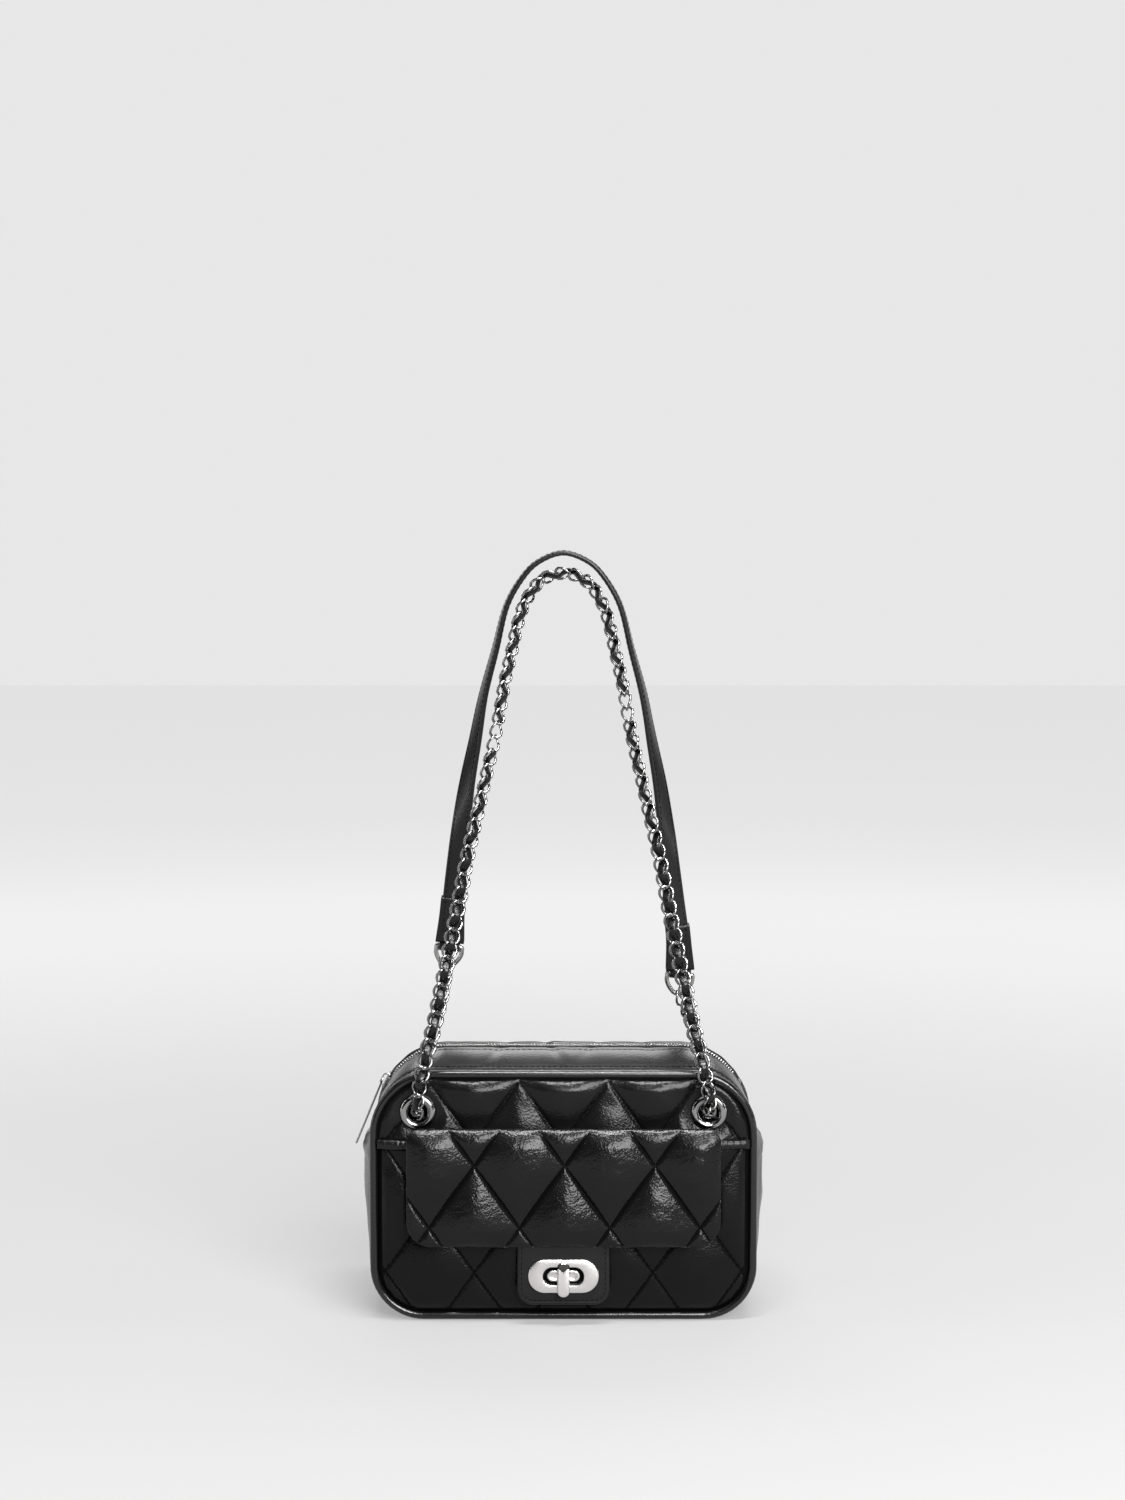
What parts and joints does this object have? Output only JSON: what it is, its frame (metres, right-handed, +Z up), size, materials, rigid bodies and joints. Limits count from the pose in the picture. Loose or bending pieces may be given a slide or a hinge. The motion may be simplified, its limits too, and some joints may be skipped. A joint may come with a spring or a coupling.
{
  "type": "chain shoulder bag",
  "caption": "Small quilted shoulder bag with a zipped top, a flap pocket with a turn lock, and a woven chain and leather strap for the shoulder.",
  "frame": {"origin": "middle of the flat underside, on the surface the bag stands on", "axes": "+Z up, -Y out of the front with the flap, +X to the right as seen from the front"},
  "size_m": [0.2145, 0.0911, 0.3975],
  "materials": {
    "leather": "smooth black faux leather with a soft gloss",
    "wadding": "soft wadding",
    "lining": "woven cloth",
    "board": "stiff board",
    "tape": "woven tape",
    "silver": "polished silver-coloured plating",
    "plain_steel": "plain",
    "lock_metal": "polished pale plating"
  },
  "bodies": {
    "bag": {"front_panel": "leather", "front_wadding": "wadding", "back_panel": "leather", "back_wadding": "wadding", "front_piping": "leather", "rear_piping": "leather", "lower_gusset": "leather", "zip_gusset_front": "leather", "zip_gusset_rear": "leather", "lining": "lining", "base_board": "board", "zip_tape_front": "tape", "zip_tape_rear": "tape", "zip_teeth_front": "silver", "zip_teeth_rear": "silver", "zip_stops": "silver", "eyelet_front_left": "silver", "eyelet_front_right": "silver", "eyelet_rear_left": "silver", "eyelet_rear_right": "silver", "eyelet_washers": "plain_steel", "slip_pocket": "leather", "pocket_lining": "lining", "pocket_binding": "leather", "flap_hinge_strip": "leather", "lock_base": "lock_metal", "lock_washer": "plain_steel", "inner_chain_left": "silver", "inner_chain_right": "silver"},
    "flap": {"flap_cover": "leather", "flap_wadding": "wadding", "flap_lining": "leather", "flap_tongue": "leather", "lock_plate": "lock_metal", "lock_plate_back": "plain_steel"},
    "turn_button": {"turn_button": "lock_metal"},
    "zip_slider": {"zip_slider": "silver"},
    "zip_pull": {"zip_pull": "silver"},
    "front_handle": {"front_chain_left": "silver", "front_chain_top": "silver", "front_chain_right": "silver", "front_lace_left": "leather", "front_lace_top": "leather", "front_lace_right": "leather"},
    "rear_handle": {"rear_chain_left": "silver", "rear_chain_right": "silver", "rear_lace_left": "leather", "rear_lace_right": "leather", "strap_ring_left": "silver", "strap_ring_right": "silver"},
    "shoulder_strap": {"shoulder_strap": "leather", "strap_tab_left": "leather", "strap_tab_right": "leather"}
  },
  "joints": [
    {"name": "flap_hinge", "type": "hinge", "parent": "bag", "child": "flap", "pos_m": [0, -0.0426, 0.0989], "axis": [-1, 0, 0], "range_deg": [0, 110]},
    {"name": "lock_turn", "type": "hinge", "parent": "bag", "child": "turn_button", "pos_m": [0, -0.0456, 0.0265], "axis": [0, -1, 0], "range_deg": [0, 90]},
    {"name": "zip_travel", "type": "hinge", "parent": "bag", "child": "zip_slider", "pos_m": [-0.06, 0, 0.1025], "axis": [0, 1, 0], "range_deg": [0, 54]},
    {"name": "pull_swing", "type": "hinge", "parent": "zip_slider", "child": "zip_pull", "pos_m": [-0.09474, 0, 0.12097], "axis": [0, 1, 0], "range_deg": [0, 165]},
    {"name": "front_chain_swing", "type": "hinge", "parent": "bag", "child": "front_handle", "pos_m": [0, -0.0345, 0.1085], "axis": [1, 0, 0], "range_deg": [0, 60]},
    {"name": "rear_chain_swing", "type": "hinge", "parent": "bag", "child": "rear_handle", "pos_m": [0, 0.0345, 0.1085], "axis": [-1, 0, 0], "range_deg": [0, 60]},
    {"name": "strap_swing", "type": "hinge", "parent": "rear_handle", "child": "shoulder_strap", "pos_m": [-0.061, 0.0318, 0.1861], "axis": [-0.9923, -0.0176, 0.1223], "range_deg": [0, 60]}
  ]
}
